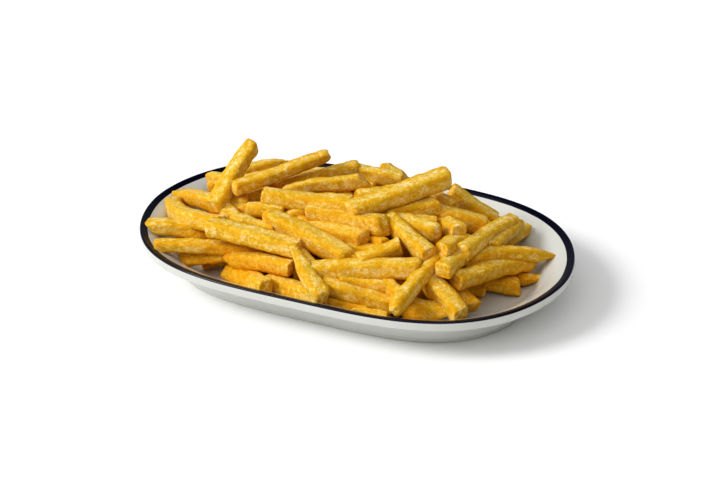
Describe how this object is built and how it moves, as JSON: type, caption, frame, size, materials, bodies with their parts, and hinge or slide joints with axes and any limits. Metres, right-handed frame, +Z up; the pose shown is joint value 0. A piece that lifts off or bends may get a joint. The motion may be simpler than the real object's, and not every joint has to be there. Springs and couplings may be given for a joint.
{
  "type": "french fries portion on an oval plate",
  "caption": "Heap of golden french fries on an oval white glazed plate with a sloping rim, a dark blue edge band and a foot ring.",
  "frame": {"origin": "on the table, under the middle of the plate", "axes": "+X along the plate's long axis, +Y across it, +Z up"},
  "size_m": [0.2658, 0.1732, 0.0739],
  "materials": {
    "plate_glaze": "glossy off-white glaze with a dark navy band round the rim",
    "fries": "golden fried potato, satin with a little oil"
  },
  "bodies": {
    "root": {"plate": "plate_glaze", "fries_heap": "fries"}
  },
  "joints": []
}
